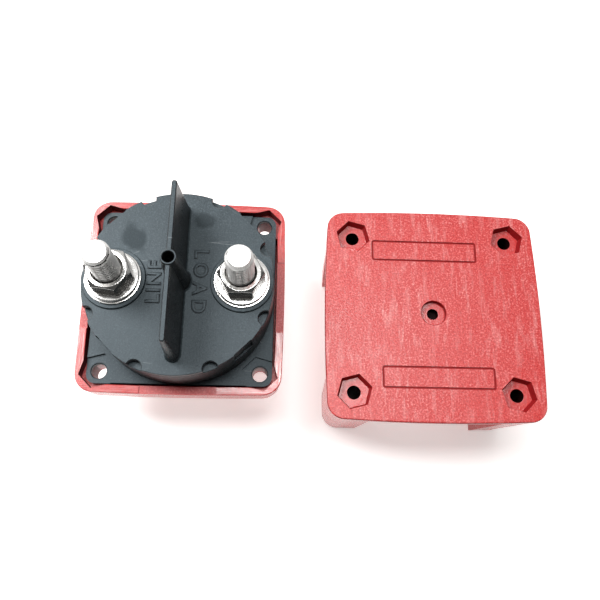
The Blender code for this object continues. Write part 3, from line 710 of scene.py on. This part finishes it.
def raised_word(name, word, centre, turn, size, spacing, mat, slot, body, z, up, thickness=0.30, edge=0.07, bold=0.0):
    """Raised generic lettering: up is +1 for a face that looks up and -1 for one that looks down."""
    curve = bpy.data.curves.new(name, "FONT")
    curve.body = word
    curve.size = size * MM
    curve.space_character = spacing
    curve.align_x = "CENTER"
    curve.align_y = "CENTER"
    curve.extrude = thickness * MM
    curve.bevel_depth = edge * MM
    curve.bevel_resolution = 1
    curve.offset = bold * MM
    curve.resolution_u = 6
    text = link(bpy.data.objects.new(name + "_curve", curve))
    bpy.context.view_layer.update()
    mesh = bpy.data.meshes.new_from_object(text.evaluated_get(bpy.context.evaluated_depsgraph_get()))
    bpy.data.objects.remove(text)
    bm = bmesh.new()
    bm.from_mesh(mesh)
    bmesh.ops.remove_doubles(bm, verts=bm.verts[:], dist=0.000002)
    spin = Matrix.Rotation(math.pi, 4, "X") if up < 0 else Matrix.Identity(4)
    bm.transform(Matrix.Translation((centre[0] * MM, centre[1] * MM, z * MM)) @ Matrix.Rotation(turn, 4, "Z") @ spin)
    obj = mesh_object(name, bm)
    dress(obj, mat, body, slot)
    # painted shade: the sides of black letters take near-black
    if mat == "black_cap":
        zone(obj, "black_painted_shade", lambda c, n: abs(n.z) < 0.5)
    return obj


# generic terminal words, raised from the cap, one each side of the blade, each ringed by a thin near-black sheet flush
# on the cap that paints a shadow outline
for mark, word, at, turn, size, spacing in (("line_mark", "LINE", (-8.3, -0.8), math.pi / 2, 6.7, 1.25), ("load_mark", "LOAD", (7.5, 0.0), -math.pi / 2, 6.9, 1.5)):
    raised_word(mark, word, at, turn, size, spacing, "black_cap", "black_cap_plastic", "switch_body", CAP_TOP, 1, 0.45, 0.05, 0.04)
    raised_word(mark + "_shadow_outline", word, at, turn, size, spacing, "black_painted_shade", "black_cap_plastic", "switch_body", CAP_TOP, 1, 0.03, 0.02, 0.34)


# ---- terminals -------------------------------------------------------------------------------------------
PITCH_T = 25.4 / 16


def stud(name, x, node, phase):
    """A headed stud: round head, plain shank and a rolled 16-per-inch thread up to a chamfered tip."""
    steps = 72
    rows = [(STUD_LOW, 0.02), (STUD_LOW, 7.0), (STUD_LOW + 0.25, 7.4), (STUD_LOW + 3.0, 7.4), (STUD_LOW + 3.3, 7.1), (STUD_LOW + 3.45, 4.9), (STUD_LOW + 3.7, STUD_R - 0.15), (CONTACT_Z0 - 0.4, STUD_R - 0.15)]
    z0, z1 = CONTACT_Z0, STUD_TOP
    count = int((z1 - z0) / PITCH_T * 12)
    rows = [(z, r, False) for z, r in rows] + [(z0 + (z1 - z0) * i / count, None, True) for i in range(count + 1)]
    bm = bmesh.new()
    rings = []
    tip = 3.72
    for z, r, threaded in rows:
        ring = []
        for k in range(steps):
            a = 2 * math.pi * k / steps
            if threaded:
                t = ((z / PITCH_T) - a / (2 * math.pi) + phase) % 1.0
                v = abs(2 * t - 1)                       # 1 at the crest, 0 at the root
                shape = min(1.0, max(0.0, (v - 0.10) / 0.72))
                shape = shape * shape * (3 - 2 * shape) * 0.35 + shape * 0.65
                fade = min(1.0, max(0.0, (z - z0) / 1.5))
                radius = (STUD_R - 0.05) - 0.86 * (1 - shape) * fade
                down = z1 - z
                radius = min(radius, tip + 0.10 * down if down < 0.55 else tip + 0.055 + (down - 0.55) * 1.15)
            else:
                radius = r
            ring.append(bm.verts.new(((x + radius * math.cos(a)) * MM, radius * math.sin(a) * MM, z * MM)))
        rings.append(ring)
    skin(bm, rings)
    obj = mesh_object(name, bm, 40)
    dress(obj, "stud", "switch_body", "tinned_stud", [node])
    # painted shade: the stud tip's chamfer and the thread roots above the nut take dark metal
    zone(obj, "nut_side", lambda c, n: STUD_TOP - 0.52 < c.z < STUD_TOP - 0.02 and abs(n.z) < 0.8
         or NUT_Z1 - 1.0 < c.z < STUD_TOP - 1.2 and math.hypot(c.x - x, c.y) < STUD_R - 0.50)
    return obj


def nut(name, x, node, turn):
    """A hexagon nut, chamfered on both faces, with a countersunk bore."""
    corner = hex_r(14.29)
    body = cylinder(name, (x, 0), corner, NUT_Z0, NUT_Z1, 6, turn=math.radians(turn))
    crown = lathe("crown", [
        (0, NUT_Z1 + 0.5), (5.81, NUT_Z1 + 0.5), (corner + 0.25, NUT_Z1 - 0.93), (corner + 0.25, NUT_Z0 + 0.8), (5.98, NUT_Z0 - 0.5), (0, NUT_Z0 - 0.5),
    ], (x, 0), 144)
    combine(body, [crown], "INTERSECT")
    cut(body, lathe("bore", [(0, NUT_Z1 + 1), (6.32, NUT_Z1 + 1), (STUD_R + 0.12, NUT_Z1 - 0.75), (STUD_R + 0.12, NUT_Z0 + 0.5), (6.13, NUT_Z0 - 1), (0, NUT_Z0 - 1)], (x, 0), 96))
    tidy(body, bevel=0.10, segments=3, angle=22)
    dress(body, "nut", "switch_body", "plated_nut", [node])
    # painted shade: the nut's flats and bore take dark metal
    zone(body, "nut_side", lambda c, n: abs(n.z) < 0.5 or (n.z < 0.93 and math.hypot(c.x - x, c.y) < 5.7))
    return body


for label, s, turn in (("input", -1, 23.0), ("output", 1, 30.0)):
    x = s * STUD_X
    stud(f"{label}_threaded_stud", x, f"{label}_stud", 0.15 if s < 0 else 0.55)
    nut(f"{label}_hex_nut", x, f"{label}_nut", turn)
    flat = lathe(f"{label}_flat_washer", [(STUD_R + 0.35, WASHER_Z1), (9.4, WASHER_Z1), (9.4, WASHER_Z0), (STUD_R + 0.35, WASHER_Z0)], (x, 0), 144, [0.12, 0.42, 0.2, 0.1], 4)
    dress(flat, "washer", "switch_body", "plated_washer", [f"{label}_washer"])
    seat = lathe(f"{label}_seat_washer", [(STUD_R + 0.35, CONTACT_Z1), (9.9, CONTACT_Z1), (9.9, CONTACT_Z0), (STUD_R + 0.35, CONTACT_Z0)], (x, 0), 144, [0.1, 0.22, 0.15, 0.1], 3)
    dress(seat, "washer", "switch_body", "plated_washer", [f"{label}_contact_washer"])

# ---- rear cover ------------------------------------------------------------------------------------------
at0 = (COVER_X, COVER_Y)
TOP, TOP_BOW, FOOT, FOOT_BOW = 39.0, 1.2, 37.5, 0.6


def cover_ring(z, inset=0.0, corner=6.0):
    t = max(0.0, min(1.0, z / (COVER_H - 0.7)))
    return outline(FOOT + (TOP - FOOT) * t - inset, corner, FOOT_BOW + (TOP_BOW - FOOT_BOW) * t, arc=12, side=16)


cover = loft("cover_shell", [
    (0.0, cover_ring(0, 0.35, 5.8)), (0.12, cover_ring(0.12, 0.12, 5.9)), (0.4, cover_ring(0.4)), (COVER_H - 0.75, cover_ring(COVER_H - 0.75)),
    (COVER_H - 0.42, cover_ring(COVER_H - 0.7, 0.04, 5.95)), (COVER_H - 0.19, cover_ring(COVER_H - 0.7, 0.13, 5.85)), (COVER_H - 0.05, cover_ring(COVER_H - 0.7, 0.28, 5.7)), (COVER_H, cover_ring(COVER_H - 0.7, 0.48, 5.5)),
], at0)
cut(cover, loft("hollow", [
    (-1.0, outline(FOOT - 2.6, 3.6, FOOT_BOW)), (COVER_H - 3.6, outline(TOP - 2.8, 3.6, TOP_BOW)), (COVER_H - 3.3, outline(TOP - 3.0, 3.5, TOP_BOW)), (COVER_H - 3.2, outline(TOP - 3.4, 3.2, TOP_BOW)),
], at0))
reach = PITCH / 2 * math.sqrt(2)
join(cover, *[block("web", (COVER_X + reach, COVER_Y - 3.2, 0.9), (COVER_X + 50.1, COVER_Y + 3.2, COVER_H - 2.5), turn=d, about=at0) for sx, sy, at, d in corners()])
join(cover, *[cylinder("tube", (COVER_X + at[0], COVER_Y + at[1]), 4.95, 0.45, COVER_H - 2.3, 48) for sx, sy, at, d in corners()],
     cylinder("centre_boss", at0, 6.5, COVER_H - 5.7, COVER_H - 2.6, 64))
openings = []
for k in range(4):
    a = k * math.pi / 2
    bm = bmesh.new()
    ring = rounded([(COVER_Y - 24.3, -1.0), (COVER_Y + 24.3, -1.0), (COVER_Y + 24.3, 42.9), (COVER_Y - 24.3, 42.9)], [0, 0, 1.6, 1.6], 5)
    rings = [[bm.verts.new((x * MM, y * MM, z * MM)) for y, z in ring] for x in (COVER_X + 30.0, COVER_X + 45.0)]
    skin(bm, rings)
    bmesh.ops.rotate(bm, verts=bm.verts[:], cent=(COVER_X * MM, COVER_Y * MM, 0), matrix=Matrix.Rotation(a, 3, "Z"))
    openings.append(mesh_object("opening", bm))
cut(cover, *openings)
cut(cover, *[cylinder("bolt_seat", (COVER_X + at[0], COVER_Y + at[1]), hex_r(9.8), COVER_H - 2.95, COVER_H + 1, 6, r_top=hex_r(11.8), turn=d) for sx, sy, at, d in corners()])
cut(cover, *[cylinder("bolt_hole", (COVER_X + at[0], COVER_Y + at[1]), 2.5, -1, COVER_H, 48) for sx, sy, at, d in corners()],
    lathe("centre_sink", [(0, COVER_H + 1), (4.8, COVER_H + 1), (4.8, COVER_H), (4.6, COVER_H - 0.2), (4.6, COVER_H - 2.0), (0, COVER_H - 2.0)], at0, 64),
    cylinder("centre_hole", at0, 2.1, COVER_H - 5.1, COVER_H, 48))


def plate_groove(centre, size, turn=0.0, wide=0.75, deep=0.42, corner=1.2):
    """A shallow engraved frame: a blank place for a name."""
    w, h = size[0] / 2, size[1] / 2
    parts = []
    for grow, z0 in ((0.0, COVER_H - deep), (-wide, COVER_H - deep - 0.2)):
        ring = rounded([(-w - grow, -h - grow), (w + grow, -h - grow), (w + grow, h + grow), (-w - grow, h + grow)], max(0.3, corner + grow), 5)
        parts.append(loft("groove", [(z0, ring), (COVER_H + 0.5, ring)], centre))
    outer, core = parts
    core.location.z = 0
    combine(outer, [core], "DIFFERENCE")
    return outer


cut(cover, plate_groove((COVER_X - 2.6, COVER_Y + 24.1), (40.0, 8.2)))
cut(cover, plate_groove((COVER_X + 0.9, COVER_Y - 24.1), (41.0, 8.2)))
tidy(cover, bevel=0.09, segments=2)
dress(cover, "red_cover", "cover", "red_cover_plastic", ["rear_cover"])


def near_recess(c, reach_hex=7.4, reach_mid=5.2):
    spots = [(COVER_X + at[0], COVER_Y + at[1], reach_hex) for sx, sy, at, d in corners()] + [(COVER_X, COVER_Y, reach_mid)]
    return any(math.hypot(c.x - x, c.y - y) < r for x, y, r in spots)


def from_cover(c):
    return max(abs(c.x - COVER_X), abs(c.y - COVER_Y))


zone(cover, "red_side", lambda c, n: abs(n.z) < 0.35 and from_cover(c) > 36.0 and n.x * (c.x - COVER_X) + n.y * (c.y - COVER_Y) > 0)
# painted shade: recess walls, the top-edge bevel and the name grooves take a darker red
zone(cover, "red_wall_painted_shade", lambda c, n: (near_recess(c) and n.z < 0.75 and c.z > COVER_H - 5.2)
     or (0.30 < n.z < 0.93 and c.z > COVER_H - 0.7 and from_cover(c) > 38.0)
     or (COVER_H - 0.75 < c.z < COVER_H - 0.06 and abs(c.x - COVER_X) < 23 and 18 < abs(c.y - COVER_Y) < 30))
zone(cover, "hole_dark", lambda c, n: abs(n.z) < 0.3 and near_recess(c, 2.75, 2.3) and c.z > 1.0
     or near_recess(c, 0.0, 2.3) and COVER_H - 5.3 < c.z < COVER_H - 4.9)
zone(cover, "red_seat", lambda c, n: near_recess(c) and n.z > 0.9 and COVER_H - 3.1 < c.z < COVER_H - 1.8)

# ---- knob and dial -----------------------------------------------------------------------------------------
knob = lathe("turning_knob", [(0, 23.2), (22.4, 23.2), (23.0, 22.6), (22.8, 20.0), (21.6, 19.0), (0, 19.0)], steps=144, radius=[0, 0.25, 0.4, 0.3, 0.5, 0], n=3)
grip = loft("grip", [
    (0.0, stadium(37.6, 12.6, 18)), (0.10, stadium(38.6, 13.6, 18)), (0.42, stadium(39.5, 14.5, 18)), (0.95, stadium(40.0, 15.0, 18)), (2.0, stadium(41.0, 15.6, 18)),
    (17.6, stadium(43.2, 18.3, 18)), (18.6, stadium(43.7, 18.9, 18)), (19.2, stadium(44.6, 20.2, 18)), (20.0, stadium(45.2, 21.6, 18)),
], smooth=50)
join(knob, grip)
finger = []
for k in range(24):
    a = 2 * math.pi * (k + 0.5) / 24
    finger.append(cylinder("flute", (23.75 * math.cos(a), 23.75 * math.sin(a)), 1.25, 18.0, 24.0, 20))
cut(knob, *finger)
cut(knob, cylinder("knob_bore", (0, 0), 4.8, 8.0, 24.0, 64), block("pointer_seat", (7.0, -1.3, -1.0), (17.2, 1.3, 0.75)))
hole = cylinder("grub_hole", (0, 0), 1.75, 3.0, 14.0, 32)
hole.data.transform(Matrix.Translation((0, 0, 14.0 * MM)) @ Matrix.Rotation(math.radians(-90), 4, "X"))
cut(knob, hole)
tidy(knob, bevel=0.12)
dress(knob, "red_knob", "knob_assembly", "red_knob_plastic", ["knob"])

pointer = loft("pointer_inlay", [(0.2, stadium(9.6, 2.0, 10)), (0.28, stadium(9.8, 2.2, 10)), (0.6, stadium(9.8, 2.2, 10))], (12.1, 0))
dress(pointer, "label", "knob_assembly", "label_white", ["knob_pointer"])

dial = lathe("dial_film", [(34.1, 24.2), (34.1, 23.78), (24.9, 23.78), (24.9, 24.2)], steps=160, radius=0.1, n=2)
dress(dial, "label", "switch_body", "label_white", ["dial_ring"])
for k in range(25):
    a = math.radians(-15 + 120 * k / 24)
    long = 3.6 if k in (3, 21) else 1.5
    tick = block(f"dial_tick_{k:02d}", (32.9 - long, -0.22 if long < 3 else -0.4, 23.70), (32.9, 0.22 if long < 3 else 0.4, 23.82), turn=a)
    tidy(tick, bevel=0.03)
    dress(tick, "mark", "switch_body", "label_white")
raised_word("dial_off_mark", "0", (27.2, 0), -math.pi / 2, 5.0, 1.0, "mark", "label_white", "switch_body", 23.74, -1, 0.03, 0.01)
raised_word("dial_on_mark", "I", (0, 27.2), 0, 5.0, 1.0, "mark", "label_white", "switch_body", 23.74, -1, 0.03, 0.01)

# ---- inner pieces keep their CAD shape, with rounded edges ---------------------------------------------------
INNER = {
    "shaft_seal": "rubber", "body_gasket": "rubber", "input_stud_seal": "rubber", "output_stud_seal": "rubber",
    "detent_ring": "natural", "rotor": "natural", "contact_bridge": "copper", "contact_spring": "spring",
    "retaining_clip": "spring", "knob_set_screw": "spring", "detent_ball_a": "spring", "detent_ball_b": "spring",
    "detent_spring_a": "spring", "detent_spring_b": "spring", "drive_shaft": "brass",
}
for node, mat in INNER.items():
    obj = NODES[node]
    obj.data.materials.clear()
    obj.data.materials.append(MAT[mat])
    weld = obj.modifiers.new("weld", "WELD")
    weld.merge_threshold = 0.000001
    if node not in ("contact_spring", "detent_spring_a", "detent_spring_b", "detent_ball_a", "detent_ball_b"):
        mod = obj.modifiers.new("edge", "BEVEL")
        mod.width = 0.00008
        mod.segments = 2
        mod.limit_method = "ANGLE"
        mod.angle_limit = math.radians(35)
        mod.use_clamp_overlap = True

# ---- stage, light and camera -----------------------------------------------------------------------------------
bm = bmesh.new()
bmesh.ops.create_grid(bm, x_segments=2, y_segments=2, size=3.0)
floor = mesh_object("studio_floor", bm, fix=False)
floor.location.z = -0.0001
n = Nodes("floor_white")
n.set(Base_Color=n.mix(n.noise(14, 2, 0.5), (0.93, 0.925, 0.915), (0.95, 0.945, 0.94)), Roughness=n.remap(n.noise(160, 2, 0.5), 0.3, 0.7, 0.5, 0.62))
n.shader.inputs["Specular IOR Level"].default_value = 0.3
n.shader.inputs["Emission Color"].default_value = (1.0, 0.985, 0.96, 1.0)
n.shader.inputs["Emission Strength"].default_value = 0.48
floor.data.materials.append(n.mat)
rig.stage(floor)

world = bpy.data.worlds.new("studio_world")
world.use_nodes = True
SCENE.world = world
tree = world.node_tree
back = tree.nodes["Background"]
def sky_ramp(value, stops):
    ramp = tree.nodes.new("ShaderNodeValToRGB")
    while len(ramp.color_ramp.elements) < len(stops):
        ramp.color_ramp.elements.new(0.5)
    for element, (where, level) in zip(ramp.color_ramp.elements, stops):
        element.position = where
        element.color = (level, level, level * 0.99, 1.0)
    tree.links.new(value, ramp.inputs["Fac"])
    return ramp.outputs["Color"]


sky = tree.nodes.new("ShaderNodeTexCoord")
parts = tree.nodes.new("ShaderNodeSeparateXYZ")
tree.links.new(sky.outputs["Generated"], parts.inputs["Vector"])
# a pale wall all round at the horizon, and a pale ceiling overhead and behind the object
tilt = tree.nodes.new("ShaderNodeVectorMath")
tilt.operation = "DOT_PRODUCT"
tilt.inputs[1].default_value = (0.0, 0.55, 0.75)
tree.links.new(sky.outputs["Generated"], tilt.inputs[0])
wall = sky_ramp(parts.outputs["Z"], [(0.0, 0.70), (0.14, 0.62), (0.24, 0.0), (1.0, 0.0)])
ceiling = sky_ramp(tilt.outputs["Value"], [(0.0, 0.07), (0.55, 0.07), (0.70, 0.35), (0.82, 0.80), (1.0, 0.80)])
joined = tree.nodes.new("ShaderNodeMix")
joined.data_type = "RGBA"
joined.blend_type = "LIGHTEN"
joined.inputs["Factor"].default_value = 1.0
tree.links.new(wall, joined.inputs[6])
tree.links.new(ceiling, joined.inputs[7])
tree.links.new(joined.outputs[2], back.inputs["Color"])
back.inputs["Strength"].default_value = 1.0


def area(name, where, towards, size, energy, colour=(1, 1, 1), size_y=None):
    light = bpy.data.lights.new(name, "AREA")
    light.shape = "RECTANGLE" if size_y else "SQUARE"
    light.size = size
    if size_y:
        light.size_y = size_y
    light.energy = energy
    light.color = colour
    obj = link(bpy.data.objects.new(name, light))
    obj.location = where
    obj.rotation_euler = (Vector(towards) - Vector(where)).to_track_quat("-Z", "Y").to_euler()
    return obj


centre = Vector((0.045, -0.005, 0.03))
area("overhead_a", (0.075, 0.105, 0.80), (0.085, 0.0, 0.0), 0.33, 2.6, (1.0, 1.0, 0.995), 0.17)
area("window_b", (-0.47, 0.27, 0.72), centre, 0.42, 8.6, (1.0, 1.0, 1.0))

camera_data = bpy.data.cameras.new("camera")
camera_data.sensor_width = 36.0
camera_data.lens = 37.72
camera_data.clip_start = 0.01
camera = link(bpy.data.objects.new("camera", camera_data))
camera.location = (0.034632, -0.071870, 0.229383 + RIM_Z * MM)
camera.rotation_euler = (0.29904, -0.04529, 0.01408)
SCENE.camera = camera

SCENE.view_settings.view_transform = "Standard"
SCENE.view_settings.look = "None"
SCENE.view_settings.exposure = 0.0
SCENE.view_settings.gamma = 1.0

with open("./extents.json", "w") as out:
    json.dump({"cad": CAD_BOUNDS, "visual": plain(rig.bounds())}, out)
